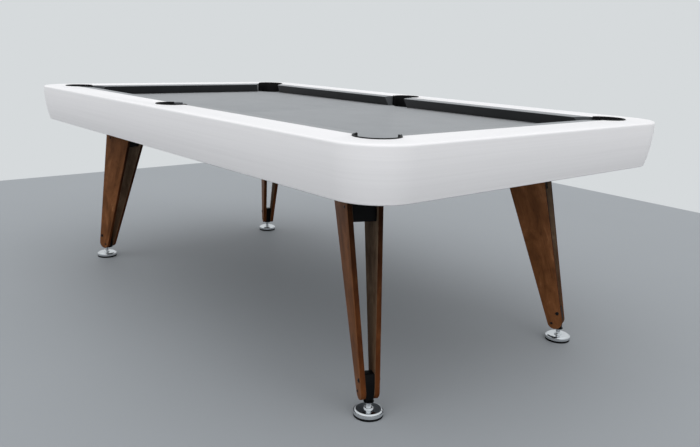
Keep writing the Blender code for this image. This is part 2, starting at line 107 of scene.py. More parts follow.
BLOCK_OUT = 0.0105
BLOCK_IN = -0.028
BLOCK_SETBACK = 0.002
BORE_TOP = 0.0875
BOLT_HEIGHT = 0.1073
BOLT_SHIFT = -0.005
BOLT_RADIUS = 0.003
BOLT_HEAD_RADIUS = 0.0062
BOLT_HEAD = 0.003

PAD = 0.0045
DISC_RADIUS = 0.0436
DISC_BOTTOM = 0.0048
DISC_TOP = 0.0208
BOSS_RADIUS = 0.0135
BOSS_TOP = 0.0253
STUD_RADIUS = 0.008
STUD_TOP = 0.0740
STUD_CLEARANCE = 0.0005
THREAD_PITCH = 0.002
COLLAR_RADIUS = 0.0152
COLLAR_LOW = 0.0425
COLLAR_TOP = 0.0457

# Sizes that only the looks have: edge rounds, and points beside a round that keep a flat flat
INNER_ROUND = 0.0012
SKIRT_ROUND = 0.002
BESIDE_INNER_ROUND = 0.002
BESIDE_SKIRT_ROUND = 0.001
BESIDE_TOP_EDGE = 0.003
POCKET_EDGE = 0.0008
CLOTH_EDGE = 0.0006
LINER_EDGE = 0.0011
CUSHION_EDGE = 0.0012
BOARD_EDGE = 0.0016
STEEL_EDGE = 0.0012
HEAD_EDGE = 0.0002
CUP_ROUND_INSIDE = 0.012
CUP_ROUND_OUTSIDE = 0.006
# A cushion's plain grey cloth begins this far below its nose, and the painted shade under the nose
# ends there
GREY_BELOW_NOSE = 0.0038

# The lugs of a liner: where each starts and ends beside the pocket's middle, its thickness, and how
# far below the rim it ends
MIDDLE_LUG = (0.0448, 0.0572)
CORNER_LUG = (0.0570, 0.0626)
LUG = 0.0059
LUG_BELOW_RIM = 0.0008

# Screws on each outer board face as (outwards from the foot's axis, height)
SCREWS = ((-0.022, 0.067), (-0.114, 0.586))
SCREW_RADIUS = 0.0046
SCREW_HEAD = 0.0018
SCREW_SHANK = 0.004
BOLT_SHANK = 0.006
BOLT_HEAD_SINK = 0.0004
PLATE_SCREW_INSET = 0.0055
PLATE_SCREW_OUT = 0.036

# The turned foot: the pad's rim and the disc's flat are wider here than in the solids, and FINE
# and SOFT are the small steps that soften corners
PAD_RADIUS = 0.0430
DISC_FLAT_RADIUS = 0.0370
FINE = 0.0001
SOFT = 6 * FINE
BOSS_ROUND = 0.0030
SHOULDER_ROUND = 0.030
SHOULDER_STEEP = math.radians(47)
SHOULDER_FLAT = math.radians(38)
LEDGE_STEP = 0.0004
LEDGE_ROUND = 0.0006
UNDERCUT = 0.0026
STUD_TIP = 0.0016
NECK = 0.0062
THREAD_DEPTH = 0.0009
THREAD_CREST = 0.0004
THREAD_FLANK = 0.0005
THREAD_ROOT = 0.0005
PAD_GROOVES = (0.0031, 0.0019)

# How finely the curves are divided
POCKET_SIDES = 96
CORNER_STEPS = 32
TUCK_STEPS = 24
CROWN_STEPS = 12
BOARD_END_STEPS = 28
HEAD_SIDES = 32
HEAD_STEPS = 6
BOLT_SIDES = 24
BORE_SIDES = 48
FOOT_SIDES = 72
COLLAR_SIDES = 48

# Pockets as (side along X, side along Y, the way the rim faces in degrees)
POCKETS = {
    "back_right": (1, 1, 45),
    "back_middle": (0, 1, 90),
    "back_left": (-1, 1, 135),
    "front_left": (-1, -1, 225),
    "front_middle": (0, -1, 270),
    "front_right": (1, -1, 315),
}
# Legs as (side along X, side along Y, heading in radians)
LEGS = {
    "back_right": (1, 1, LEG_TURN),
    "back_left": (-1, 1, math.pi - LEG_TURN),
    "front_left": (-1, -1, math.pi + LEG_TURN),
    "front_right": (1, -1, -LEG_TURN),
}


def srgb(code):
    """An sRGB hex colour as the linear colour that Blender's sockets take."""
    parts = [int(code[i : i + 2], 16) / 255 for i in (1, 3, 5)]
    return (*[c / 12.92 if c <= 0.04045 else ((c + 0.055) / 1.055) ** 2.4 for c in parts], 1.0)


def add_node(tree, kind, values=(), links=(), stops=(), **settings):
    """Add one node with its settings, input values, linked sockets and, on a ramp, its stops."""
    made = tree.nodes.new("ShaderNode" + kind)
    for name, value in settings.items():
        setattr(made, name, value)
    for socket, value in dict(values).items():
        made.inputs[socket].default_value = value
    for socket, source in dict(links).items():
        tree.links.new(source, made.inputs[socket])
    for i, (place, code) in enumerate(stops):
        if i < 2:
            stop = made.color_ramp.elements[i]
            stop.position = place
        else:
            stop = made.color_ramp.elements.new(place)
        stop.color = srgb(code)
    return made


def new_material(name, **values):
    """A material with its constant values on the shader's own sockets."""
    made = bpy.data.materials.new(name)
    made.use_nodes = True
    tree = made.node_tree
    shader = tree.nodes["Principled BSDF"]
    for socket, value in values.items():
        shader.inputs[socket.replace("_", " ")].default_value = value
    return made, tree, shader


def place_in_metres(tree):
    """The object's own coordinates, so that every scale below is in repeats per metre."""
    return add_node(tree, "TexCoord").outputs["Object"]


def stretched(tree, vector, scale):
    """Coordinates with a scale of their own along each axis, for grain and streaks."""
    return add_node(tree, "Mapping", {"Scale": scale}, {"Vector": vector}).outputs[0]


def noise(tree, vector, scale, detail, **more):
    """The factor of a noise texture."""
    values = {"Scale": scale, "Detail": detail, **more}
    return add_node(tree, "TexNoise", values, {"Vector": vector}).outputs["Fac"]


def ramp(tree, factor, stops):
    """The colour that a factor has on a ramp of colour stops."""
    return add_node(tree, "ValToRGB", links={"Fac": factor}, stops=stops).outputs["Color"]


def mapped(tree, value, low, high, start=0.0, end=1.0):
    """A value that runs from start to end, mapped to run from low to high."""
    values = {"From Min": start, "From Max": end, "To Min": low, "To Max": high}
    return add_node(tree, "MapRange", values, {"Value": value}).outputs[0]


def combined(tree, first, second, operation="ADD"):
    """Two values put together by one operation."""
    return add_node(tree, "Math", links={0: first, 1: second}, operation=operation).outputs[0]


def blended(tree, links, values=()):
    """Two colours, sockets 6 and 7, blended by the share at socket 0."""
    return add_node(tree, "Mix", values, links, data_type="RGBA").outputs[2]


def height_of(tree, vector):
    """The Z part of a vector."""
    return add_node(tree, "SeparateXYZ", links={"Vector": vector}).outputs["Z"]


def emboss(tree, shader, height, strength, depth):
    """A bump on the shader's normal, its depth in metres."""
    values = {"Strength": strength, "Distance": depth}
    bump = add_node(tree, "Bump", values, {"Height": height})
    tree.links.new(bump.outputs[0], shader.inputs["Normal"])


def white_lacquer():
    """Sprayed lacquer, rubbed down: clean white, a low satin shine, a faint orange peel, and very
    faint long streaks where it was rubbed along the rails."""
    made, tree, shader = new_material("sprayed_white_lacquer", Specular_IOR_Level=0.2)
    place = place_in_metres(tree)
    streak = noise(tree, stretched(tree, place, (1.2, 1.2, 150)), scale=1.0, detail=3.0)
    tint = ramp(tree, streak, [(0.30, "#f3f3f4"), (0.70, "#f7f7f8")])
    tree.links.new(tint, shader.inputs["Base Color"])
    haze = noise(tree, place, scale=14.0, detail=2.0)
    tree.links.new(mapped(tree, haze, 0.47, 0.57), shader.inputs["Roughness"])
    # Orange peel is about 2 mm across
    peel = noise(tree, place, scale=480.0, detail=1.0)
    emboss(tree, shader, peel, strength=0.05, depth=0.0004)
    return made


# The real thread is about 0.6 mm and is drawn coarser here so that it shows. A wave texture of
# scale 1 repeats about three times in a metre.
THREAD_ACROSS = 0.0024
WAVES_PER_METRE = 3.14


def worsted_cloth(name, dark, light):
    """Worsted wool billiard cloth: matt, close woven, slightly mottled, with a soft nap that
    catches light at the edges."""
    made, tree, shader = new_material(name, Roughness=0.93, Sheen_Weight=0.15, Sheen_Roughness=0.5)
    place = place_in_metres(tree)
    fibre = noise(tree, place, scale=420.0, detail=4.0, Roughness=0.65)
    patch = noise(tree, place, scale=9.0, detail=3.0)
    mottle = mapped(tree, combined(tree, fibre, patch), 0.0, 1.0, start=0.55, end=1.45)
    tint = ramp(tree, mottle, [(0.2, dark), (0.8, light)])
    tree.links.new(tint, shader.inputs["Base Color"])
    scale = 1 / (THREAD_ACROSS * WAVES_PER_METRE)
    values = {"Scale": scale, "Distortion": 1.2, "Detail": 1.0, "Detail Scale": 2.0}
    threads = []
    for axis in ("X", "Y"):
        wave = add_node(tree, "TexWave", values, {"Vector": place}, bands_direction=axis)
        threads.append(wave.outputs["Fac"])
    weave = combined(tree, threads[0], threads[1], "MULTIPLY")
    emboss(tree, shader, combined(tree, weave, fibre), strength=0.25, depth=0.0004)
    return made


def walnut(name, stops, foot=(), shine=(0.44, 0.60), specular=0.12):
    """Oiled walnut, planed and sanded: cloudy brown figure in patches about 40 mm wide and 110 mm
    long, finer streaks along the board, short dark pores, and a low satin shine. A second set of
    stops for the foot can blend in between 600 and 100 mm above the floor, as painted light and
    shade that change with height."""
    made, tree, shader = new_material(name, Specular_IOR_Level=specular)
    grain = add_node(tree, "UVMap", uv_map="grain").outputs["UV"]
    along = stretched(tree, grain, (26, 9, 1))
    band = noise(tree, along, scale=1.0, detail=5.0, Roughness=0.6, Distortion=0.5)
    streak = noise(tree, stretched(tree, grain, (520, 9, 1)), scale=1.0, detail=3.0)
    figure = combined(tree, band, mapped(tree, streak, -0.11, 0.11))
    colour = ramp(tree, figure, stops)
    # Painted light and shade by height: the foot's colours below 100 mm, the main colours above 600
    # mm
    if foot:
        height = height_of(tree, place_in_metres(tree))
        height_shade = mapped(tree, height, 0.0, 1.0, start=0.10, end=0.60)
        colour = blended(tree, {0: height_shade, 6: ramp(tree, figure, foot), 7: colour})
    pore = noise(tree, stretched(tree, grain, (1300, 36, 1)), scale=1.0, detail=1.0)
    pit = mapped(tree, pore, 0.0, 0.55, start=0.60, end=0.72)
    face = blended(tree, {0: pit, 6: colour}, {7: srgb("#1d110b")})
    tree.links.new(face, shader.inputs["Base Color"])
    tree.links.new(mapped(tree, streak, *shine), shader.inputs["Roughness"])
    emboss(tree, shader, combined(tree, streak, pit, "SUBTRACT"), strength=0.25, depth=0.0003)
    return made


def pine(name, scale):
    """Planed softwood for the chassis under grey primer: growth rings about 9 mm apart show
    faintly."""
    made, tree, shader = new_material(name, Roughness=0.7)
    along = stretched(tree, place_in_metres(tree), scale)
    ring = noise(tree, along, scale=1.0, detail=4.0, Roughness=0.5, Distortion=0.7)
    tint = ramp(tree, ring, [(0.30, "#7c7e80"), (0.70, "#9b9d9f"), (0.48, "#8c8e90")])
    tree.links.new(tint, shader.inputs["Base Color"])
    emboss(tree, shader, ring, strength=0.2, depth=0.0005)
    return made


def mottled(name, dark, light, grit, rough, depth, metallic=0.0, specular=0.5):
    """A finish with one fine grit, its size in millimetres, a pair of colours, and a roughness
    range."""
    made, tree, shader = new_material(name, Metallic=metallic, Specular_IOR_Level=specular)
    place = place_in_metres(tree)
    grain = noise(tree, place, scale=1000.0 / grit, detail=3.0, Roughness=0.6)
    cloud = noise(tree, place, scale=22.0, detail=3.0)
    tint = ramp(tree, cloud, [(0.3, dark), (0.7, light)])
    tree.links.new(tint, shader.inputs["Base Color"])
    tree.links.new(mapped(tree, grain, *rough), shader.inputs["Roughness"])
    emboss(tree, shader, grain, strength=0.35, depth=depth)
    return made


WHITE = white_lacquer()
GREY_CLOTH = worsted_cloth("grey_worsted_cloth", "#8e9295", "#95999c")
# The same grey cloth in two darker copies with painted shade: charcoal for the shade under a
# cushion's nose, slate grey for the shade on its ends
NOSE_SHADE_CLOTH = worsted_cloth("grey_cloth_painted_nose_shade", "#16181b", "#1f2225")
END_SHADE_CLOTH = worsted_cloth("grey_cloth_painted_end_shade", "#46494c", "#54575a")
# The boards' outer faces are brown heartwood. Their inner faces are the same walnut with less
# polish, with painted shade towards the foot and paler, greyer painted light towards the top; their
# narrow edges carry dark brown painted shade, deepest at the top under the table
WALNUT = walnut(
    "oiled_walnut", [(0.26, "#482914"), (0.76, "#976844"), (0.44, "#694123"), (0.58, "#7a4d2d")]
)
# Walnut for the inner faces: painted shade towards the foot, paler and greyer painted light towards
# the top
INNER_WALNUT_LIGHT_AND_SHADE = walnut(
    "walnut_inner_painted_light_and_shade",
    [(0.26, "#524437"), (0.76, "#94836f"), (0.44, "#705f4f"), (0.58, "#7c6b59")],
    [(0.26, "#3f2c1d"), (0.76, "#826750"), (0.44, "#5c4533"), (0.58, "#68503c")],
    shine=(0.75, 0.88),
    specular=0.04,
)
# Walnut for the narrow edges: dark painted shade, near black at the top and reddish brown at the
# foot
EDGE_WALNUT_PAINTED_SHADE = walnut(
    "walnut_edge_painted_shade",
    [(0.26, "#1c0f08"), (0.76, "#452a18"), (0.44, "#2a180e"), (0.58, "#331f12")],
    [(0.26, "#381b0d"), (0.76, "#784a2a"), (0.44, "#502b15"), (0.58, "#5e351b")],
    shine=(0.70, 0.84),
    specular=0.04,
)
PINE_LONG = pine("grey_primed_pine_along", (1.6, 110, 110))
PINE_CROSS = pine("grey_primed_pine_across", (110, 1.6, 110))
# Sawn slate: blue grey, dry and slightly cloudy, with a fine rubbed grit
SLATE_STONE = mottled("rubbed_slate", "#62676b", "#757a7e", 1.5, (0.62, 0.8), 0.0004)
# Moulded polyurethane rubber: near black, a low sheen and a fine leathery grain
LINER = mottled(
    "moulded_black_liner", "#040405", "#09090a", 1.2, (0.46, 0.6), 0.0003, specular=0.2
)
# Black primer on the rail's inner wall, where the cushions are glued: matt and dusty
PRIMER = mottled("black_primer", "#0a0a0b", "#131415", 1.5, (0.7, 0.85), 0.0003, specular=0.2)
# Powder-coated steel: satin black with a fine pebble
STEEL = mottled(
    "powder_coated_steel", "#040405", "#09090a", 0.9, (0.46, 0.6), 0.0002, specular=0.1
)
# Blackened steel screws: smoother than the powder coat, with a metal's shine
SCREW = mottled(
    "blackened_screw_steel", "#0b0b0c", "#17181a", 0.6, (0.28, 0.4), 0.0001, metallic=0.6
)
# Bright chrome plate: a mirror with a faint polishing haze
CHROME = mottled(
    "bright_chrome", "#dadde0", "#e6e8ea", 3.0, (0.05, 0.09), 0.00002, metallic=1.0
)
# Moulded rubber: black, dry and slightly chalky
RUBBER = mottled("moulded_rubber", "#050506", "#0b0b0c", 0.8, (0.7, 0.85), 0.0002, specular=0.15)


def clear():
    """Leave edit mode and deselect everything."""
    if bpy.context.mode != "OBJECT":
        bpy.ops.object.mode_set(mode="OBJECT")
    bpy.ops.object.select_all(action="DESELECT")


def pick(piece):
    """Deselect everything and make one piece the active one."""
    clear()
    bpy.context.view_layer.objects.active = piece
    piece.select_set(True)


def drop(*pieces):
    """Remove pieces that were only tools or patterns."""
    for piece in pieces:
        bpy.data.objects.remove(piece, do_unlink=True)


def settle(piece):
    """Put a piece's place and scale into its mesh, so that the object stands at the origin."""
    pick(piece)
    bpy.ops.object.transform_apply(location=True, rotation=True, scale=True)
    return piece


def box(name, middle, size):
    """A cube scaled to a size and settled in its place."""
    clear()
    bpy.ops.mesh.primitive_cube_add(size=1.0, location=middle)
    made = bpy.context.object
    made.name = name
    made.scale = size
    return settle(made)


def bar(name, sides, radius, length, middle):
    """An upright round bar that isn't settled yet."""
    clear()
    bpy.ops.mesh.primitive_cylinder_add(
        vertices=sides, radius=radius, depth=length, location=middle
    )
    made = bpy.context.object
    made.name = name
    return made


def outline_loop(name, points, fill="NOTHING", closed=True):
    """A circle primitive whose corners are moved to an outline, left in edit mode. The closing
    edge can be taken out."""
    clear()
    bpy.ops.mesh.primitive_circle_add(vertices=len(points), radius=1.0, fill_type=fill)
    made = bpy.context.object
    made.name = name
    for corner, point in zip(made.data.vertices, points):
        corner.co = point
    bpy.ops.object.mode_set(mode="EDIT")
    bpy.ops.mesh.select_mode(type="EDGE")
    if not closed:
        bpy.ops.mesh.select_all(action="DESELECT")
        bpy.ops.object.mode_set(mode="OBJECT")
        ends = {0, len(points) - 1}
        for edge in made.data.edges:
            edge.select = set(edge.vertices) == ends
        bpy.ops.object.mode_set(mode="EDIT")
        bpy.ops.mesh.delete(type="EDGE")
    bpy.ops.mesh.select_all(action="SELECT")
    return made


def close_up(merge=1e-6):
    """In edit mode: merge doubles, drop flat faces, turn all faces outwards, leave edit mode."""
    bpy.ops.mesh.select_all(action="SELECT")
    bpy.ops.mesh.remove_doubles(threshold=merge)
    bpy.ops.mesh.dissolve_degenerate(threshold=1e-7)
    bpy.ops.mesh.select_all(action="SELECT")
    bpy.ops.mesh.normals_make_consistent(inside=False)
    bpy.ops.object.mode_set(mode="OBJECT")


def turned(name, profile, steps, closed=False):
    """A piece turned about Z: an outline of (radius, height), spun once round."""
    made = outline_loop(name, [(r, 0, z) for r, z in profile], closed=closed)
    bpy.ops.mesh.spin(steps=steps, angle=2 * math.pi, center=(0, 0, 0), axis=(0, 0, 1))
    close_up()
    return made


def extruded(name, points, step):
    """A closed outline filled and pulled along one step."""
    made = outline_loop(name, points, fill="NGON")
    bpy.ops.mesh.extrude_region_move(TRANSFORM_OT_translate={"value": step})
    close_up()
    return made


def boolean(piece, tool, operation="DIFFERENCE", keep=False):
    """Cut or join a piece with another one, which is then removed unless it is kept."""
    pick(piece)
    step = piece.modifiers.new("boolean", "BOOLEAN")
    step.operation = operation
    step.object = tool
    step.solver = "EXACT"
    bpy.ops.object.modifier_apply(modifier=step.name)
    if not keep:
        drop(tool)


def round_edges(piece, width, segments, angle=35):
    """Round every edge sharper than an angle."""
    pick(piece)
    step = piece.modifiers.new("round", "BEVEL")
    step.width = width
    step.segments = segments
    step.limit_method = "ANGLE"
    step.angle_limit = math.radians(angle)
    bpy.ops.object.modifier_apply(modifier=step.name)


def join(pieces, name):
    """Put several pieces into the first one's mesh."""
    clear()
    for piece in pieces:
        piece.select_set(True)
    bpy.context.view_layer.objects.active = pieces[0]
    bpy.ops.object.join()
    pieces[0].name = name
    return pieces[0]


def copied(piece, name, place):
    """A copy with its own mesh, moved in its mesh, so that the object stays at the origin."""
    pick(piece)
    bpy.ops.object.duplicate(linked=False)
    made = bpy.context.object
    made.name = name
    made.data.transform(place)
    return made


def finish_piece(piece, body, finishes, replaced=(), smooth=30):
    """Shading, finish, body and the CAD nodes that a piece stands for."""
    settle(piece)
    bpy.ops.object.shade_smooth_by_angle(angle=math.radians(smooth))
    for finish in finishes:
        piece.data.materials.append(finish)
    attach(piece, body)
    if replaced:
        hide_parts(*replaced)
    return piece


def arc(centre, radius, start, end, steps):
    """Points along an arc of an outline, angles in radians."""
    points = []
    for i in range(steps + 1):
        angle = start + (end - start) * i / steps
        points.append((centre[0] + radius * math.cos(angle), centre[1] + radius * math.sin(angle)))
    return points


def turned_to(x, y, degrees):
    """The matrix that turns a piece about Z and then moves it to a place."""
    return Matrix.Translation((x, y, 0)) @ Matrix.Rotation(math.radians(degrees), 4, "Z")


def pocket_place(place):
    """Where a pocket stands, which way its rim faces, and its liner's radius."""
    sx, sy, heading = POCKETS[place]
    if sx == 0:
        return 0.0, sy * (FIELD_WIDTH / 2 + MIDDLE_POCKET_SHIFT), heading, MIDDLE_POCKET_RADIUS
    x = sx * (FIELD_LENGTH / 2 + CORNER_POCKET_SHIFT)
    y = sy * (FIELD_WIDTH / 2 + CORNER_POCKET_SHIFT)
    return x, y, heading, CORNER_POCKET_RADIUS


def pocket_cutter():
    """Six round bars, a little larger than the liners, as one cutting tool."""
    length, height = 0.4, 0.75
    bars = []
    for place in POCKETS:
        x, y, _, radius = pocket_place(place)
        wide = radius + POCKET_CLEARANCE
        bars.append(bar("pocket_bar", POCKET_SIDES, wide, length, (x, y, height)))
    return settle(join(bars, "pocket_cutter"))


def soften_pocket_edges(piece, height, offset):
    """Round the edge that the pocket cuts leave in a top face."""
    level, close = 1e-5, 1e-4
    pick(piece)
    bpy.context.tool_settings.mesh_select_mode = (False, True, False)
    circles = [pocket_place(place) for place in POCKETS]
    corners = piece.data.vertices
    on_cut = set()
    for corner in corners:
        if abs(corner.co.z - height) < level:
            for x, y, _, radius in circles:
                away = math.hypot(corner.co.x - x, corner.co.y - y)
                if abs(away - radius - POCKET_CLEARANCE) < close:
                    on_cut.add(corner.index)
    for face in piece.data.polygons:
        face.select = False
    for corner in corners:
        corner.select = False
    for edge in piece.data.edges:
        edge.select = edge.vertices[0] in on_cut and edge.vertices[1] in on_cut
    bpy.ops.object.mode_set(mode="EDIT")
    bpy.ops.mesh.bevel(offset=offset, segments=2, affect="EDGES", clamp_overlap=True)
    bpy.ops.object.mode_set(mode="OBJECT")


def body_section():
    """Rail section as (outwards from the inner edge, height), with points beside each round that
    keep the flats flat."""
    tucked = RAIL_WIDTH - BODY_TUCK
    inside = tucked - SKIRT
    quarter = math.pi / 2
    points = [(0, SLATE_BOTTOM), (inside, SLATE_BOTTOM)]
    points.append((inside, BODY_BOTTOM + SKIRT_ROUND + BESIDE_SKIRT_ROUND))
    low = (inside + SKIRT_ROUND, BODY_BOTTOM + SKIRT_ROUND)
    points += arc(low, SKIRT_ROUND, 2 * quarter, 3 * quarter, steps=4)
    low = (tucked - BOTTOM_EDGE, BODY_BOTTOM + BOTTOM_EDGE)
    points += arc(low, BOTTOM_EDGE, -quarter, 0, steps=6)
    fall = RAIL_TOP - BODY_BOTTOM - TOP_EDGE - BOTTOM_EDGE
    for i in range(TUCK_STEPS - 1, 0, -1):
        depth = i / TUCK_STEPS
        out = RAIL_WIDTH - BODY_TUCK * depth**TUCK_POWER
        points.append((out, RAIL_TOP - TOP_EDGE - fall * depth))
    high = (RAIL_WIDTH - TOP_EDGE, RAIL_TOP - TOP_EDGE)
    points += arc(high, TOP_EDGE, 0, quarter, steps=14)
    points.append((RAIL_WIDTH - TOP_EDGE - BESIDE_TOP_EDGE, RAIL_TOP))
    points.append((INNER_ROUND + BESIDE_INNER_ROUND, RAIL_TOP))
    high = (INNER_ROUND, RAIL_TOP - INNER_ROUND)
    points += arc(high, INNER_ROUND, quarter, 2 * quarter, steps=4)
    return points


def white_body(cutter):
    """The lacquered body: one section carried round the four corners, then cut for the pockets.
    Its inner wall, behind the cushions, has black primer."""
    start = [(CORNER_X, -CORNER_Y - CORNER_INNER_RADIUS - out, z) for out, z in body_section()]
    body = outline_loop("white_body", start)
    # Each corner, and the straight that follows it
    runs = (
        (1, -1, (0, 2 * CORNER_Y, 0)),
        (1, 1, (-2 * CORNER_X, 0, 0)),
        (-1, 1, (0, -2 * CORNER_Y, 0)),
        (-1, -1, (2 * CORNER_X, 0, 0)),
    )
    # A short step at each end of a straight keeps the corner's shading off it
    end_share = 0.012
    for sx, sy, run in runs:
        middle = (sx * CORNER_X, sy * CORNER_Y, 0)
        bpy.ops.mesh.spin(
            steps=CORNER_STEPS, angle=-math.pi / 2, center=middle, axis=(0, 0, 1)
        )
        for share in (end_share, 1 - 2 * end_share, end_share):
            step = Vector(run) * share
            bpy.ops.mesh.extrude_region_move(TRANSFORM_OT_translate={"value": step})
    close_up(1e-5)
    boolean(body, cutter, keep=True)
    soften_pocket_edges(body, RAIL_TOP, POCKET_EDGE)
    beyond, below, upright = 0.001, 0.002, 0.5
    for face in body.data.polygons:
        x, y, z = face.center
        inner = abs(x) < INNER_X + beyond and abs(y) < INNER_Y + beyond and z < RAIL_TOP - below
        face.material_index = 1 if inner and abs(face.normal.z) < upright else 0
    corners = ["corner_" + place for place in LEGS]
    rails = ["side_rail_back", "side_rail_front", "end_rail_right", "end_rail_left"]
    finish_piece(body, "table", [WHITE, PRIMER], rails + corners)


def bed_cloth(cutter):
    """Cloth stretched over the slate, with its edges turned into the pockets."""
    size = (2 * (INNER_Y - GAP), 2 * (INNER_X - GAP))
    middle = (0, 0, BED_HEIGHT - CLOTH / 2)
    cloth = box("stretched_bed_cloth", middle, (size[1], size[0], CLOTH))
    boolean(cloth, cutter, keep=True)
    soften_pocket_edges(cloth, BED_HEIGHT, CLOTH_EDGE)
    finish_piece(cloth, "table", [GREY_CLOTH], ["bed_cloth"])


def liner_lugs(place):
    """Two small lugs that fill the wall beside a pocket, from the liner's rim to the cushions."""
    sx, sy, _ = POCKETS[place]
    x, y, _, _ = pocket_place(place)
    wall_x = INNER_X - POCKET_CLEARANCE
    wall_y = INNER_Y - POCKET_CLEARANCE
    on_side = (sy * (wall_y - LUG), sy * wall_y)
    if sx == 0:
        near, far = MIDDLE_LUG
        spans = [(side * near, side * far, *on_side) for side in (-1, 1)]
    else:
        near, far = CORNER_LUG
        on_end = (sx * (wall_x - LUG), sx * wall_x)
        spans = [
            (x - sx * near, x - sx * far, *on_side),
            (*on_end, y - sy * near, y - sy * far),
        ]
    low = BED_HEIGHT + GAP
    high = RAIL_TOP + RIM_PROUD - LUG_BELOW_RIM
    lugs = []
    for x0, x1, y0, y1 in spans:
        middle = ((x0 + x1) / 2, (y0 + y1) / 2, (low + high) / 2)
        lugs.append(box("lug", middle, (abs(x1 - x0), abs(y1 - y0), high - low)))
    return lugs


def pocket_liners():
    """Black cups whose wall stands up behind the pocket as a thin rim that ends in two lugs."""
    reach = 0.2
    for place in POCKETS:
        x, y, heading, radius = pocket_place(place)
        inside = radius - POCKET_WALL
        floor = POCKET_BOTTOM + POCKET_WALL
        top = RAIL_TOP + RIM_PROUD
        profile = [(0, floor)]
        middle = (inside - CUP_ROUND_INSIDE, floor + CUP_ROUND_INSIDE)
        profile += arc(middle, CUP_ROUND_INSIDE, -math.pi / 2, 0, steps=6)
        profile += [(inside, top), (radius, top)]
        middle = (radius - CUP_ROUND_OUTSIDE, POCKET_BOTTOM + CUP_ROUND_OUTSIDE)
        profile += arc(middle, CUP_ROUND_OUTSIDE, 0, -math.pi / 2, steps=4)
        profile.append((0, POCKET_BOTTOM))
        liner = turned("pocket_liner_" + place, profile, POCKET_SIDES)
        middle = (-RIM_EARS - reach / 2, 0, SLATE_TOP + reach / 2)
        boolean(liner, box("mouth", middle, (reach, 2 * reach, reach)))
        liner.data.transform(turned_to(x, y, heading))
        for lug in liner_lugs(place):
            boolean(liner, lug, "UNION")
        round_edges(liner, LINER_EDGE, segments=3)
        finish_piece(liner, "table", [LINER], ["pocket_" + place])


def cushion_section():
    """Cushion section as (outwards from the nose, height): round nose, crowned top, raked
    underside."""
    back = CUSHION_WIDTH - GAP
    low = BED_HEIGHT + GAP
    top = RAIL_TOP - CUSHION_BELOW_RAIL
    nose = (NOSE_RADIUS, BED_HEIGHT + NOSE_HEIGHT)
    points = [(back, low), (CUSHION_FOOT, low)]
    points += arc(nose, NOSE_RADIUS, NOSE_LOW_ANGLE, NOSE_HIGH_ANGLE, steps=12)
    out, height = points[-1]
    for i in range(1, CROWN_STEPS + 1):
        along = i / CROWN_STEPS
        crown = CUSHION_CROWN * 4 * along * (1 - along)
        points.append((out + (back - out) * along, height + (top - height) * along + crown))
    return points


def facing(shift_along, shift_out, angle, radius):
    """A line clear of the liner where a cushion ends beside a pocket, as its start at the nose
    and its slope."""
    clear_radius = radius + FACING_CLEARANCE
    slope = math.tan(angle)
    along = shift_along - clear_radius * math.cos(angle)
    out = shift_out + clear_radius * math.sin(angle)
    return along - out * slope, slope


def cushions():
    """Six rubber cushions in grey cloth: plain grey on top, with painted shade in charcoal under
    the nose and painted shade in slate grey at the ends."""
    corner_nose, corner_slope = facing(
        CORNER_POCKET_SHIFT, CORNER_POCKET_SHIFT, CORNER_FACING_ANGLE, CORNER_POCKET_RADIUS
    )
    middle_nose, middle_slope = facing(
        0, MIDDLE_POCKET_SHIFT, MIDDLE_FACING_ANGLE, MIDDLE_POCKET_RADIUS
    )
    long_half = FIELD_LENGTH / 2
    end_half = FIELD_WIDTH / 2
    middle_start = (-middle_nose, -middle_slope)
    middle_end = (middle_nose, middle_slope)
    side_start = (-long_half - corner_nose, -corner_slope)
    side_end = (long_half + corner_nose, corner_slope)
    cross_start = (-end_half - corner_nose, -corner_slope)
    cross_end = (end_half + corner_nose, corner_slope)
    # The middle of each nose line, its heading in degrees, and the lines of its two ends
    runs = {
        "back_right": (0.0, end_half, 0, middle_start, side_end),
        "back_left": (0.0, end_half, 0, side_start, middle_end),
        "front_left": (0.0, -end_half, 180, middle_start, side_end),
        "front_right": (0.0, -end_half, 180, side_start, middle_end),
        "end_right": (long_half, 0.0, -90, cross_start, cross_end),
        "end_left": (-long_half, 0.0, 90, cross_start, cross_end),
    }
    section = [(-1, out, z) for out, z in cushion_section()]
    grey_from = BED_HEIGHT + NOSE_HEIGHT - GREY_BELOW_NOSE
    upward, endward = 0.35, 0.6
    for place, (x, y, heading, low_end, high_end) in runs.items():
        cushion = extruded("rubber_cushion_" + place, section, (2, 0, 0))
        for corner in cushion.data.vertices:
            nose, slope = low_end if corner.co.x < 0 else high_end
            corner.co.x = nose + slope * corner.co.y
        round_edges(cushion, CUSHION_EDGE, segments=3, angle=50)
        # Faces under the nose get the charcoal painted shade, the ends get the slate grey painted
        # shade, and the top stays plain grey
        for face in cushion.data.polygons:
            on_top = face.normal.z > upward and face.center.z > grey_from
            at_end = abs(face.normal.x) > endward
            face.material_index = 2 if at_end else 0 if on_top else 1
        cushion.data.transform(turned_to(x, y, heading))
        cloth_and_painted_shades = [GREY_CLOTH, NOSE_SHADE_CLOTH, END_SHADE_CLOTH]
        finish_piece(cushion, "table", cloth_and_painted_shades, ["cushion_" + place], smooth=40)


def tangent_angle(point, side):
    """Angle on the board's round end where a straight edge from a top corner touches it."""
    dx = point[0] - BOARD_END_SHIFT
    dz = point[1] - BOARD_END_HEIGHT
    return math.atan2(dz, dx) + side * math.acos(BOARD_END_RADIUS / math.hypot(dx, dz))


def edge_at(corner, side, height):
    """How far out a board's straight edge is at a height."""
    angle = tangent_angle(corner, side)
    x = BOARD_END_SHIFT + BOARD_END_RADIUS * math.cos(angle)
    z = BOARD_END_HEIGHT + BOARD_END_RADIUS * math.sin(angle)
    return x + (corner[0] - x) * (height - z) / (corner[1] - z)


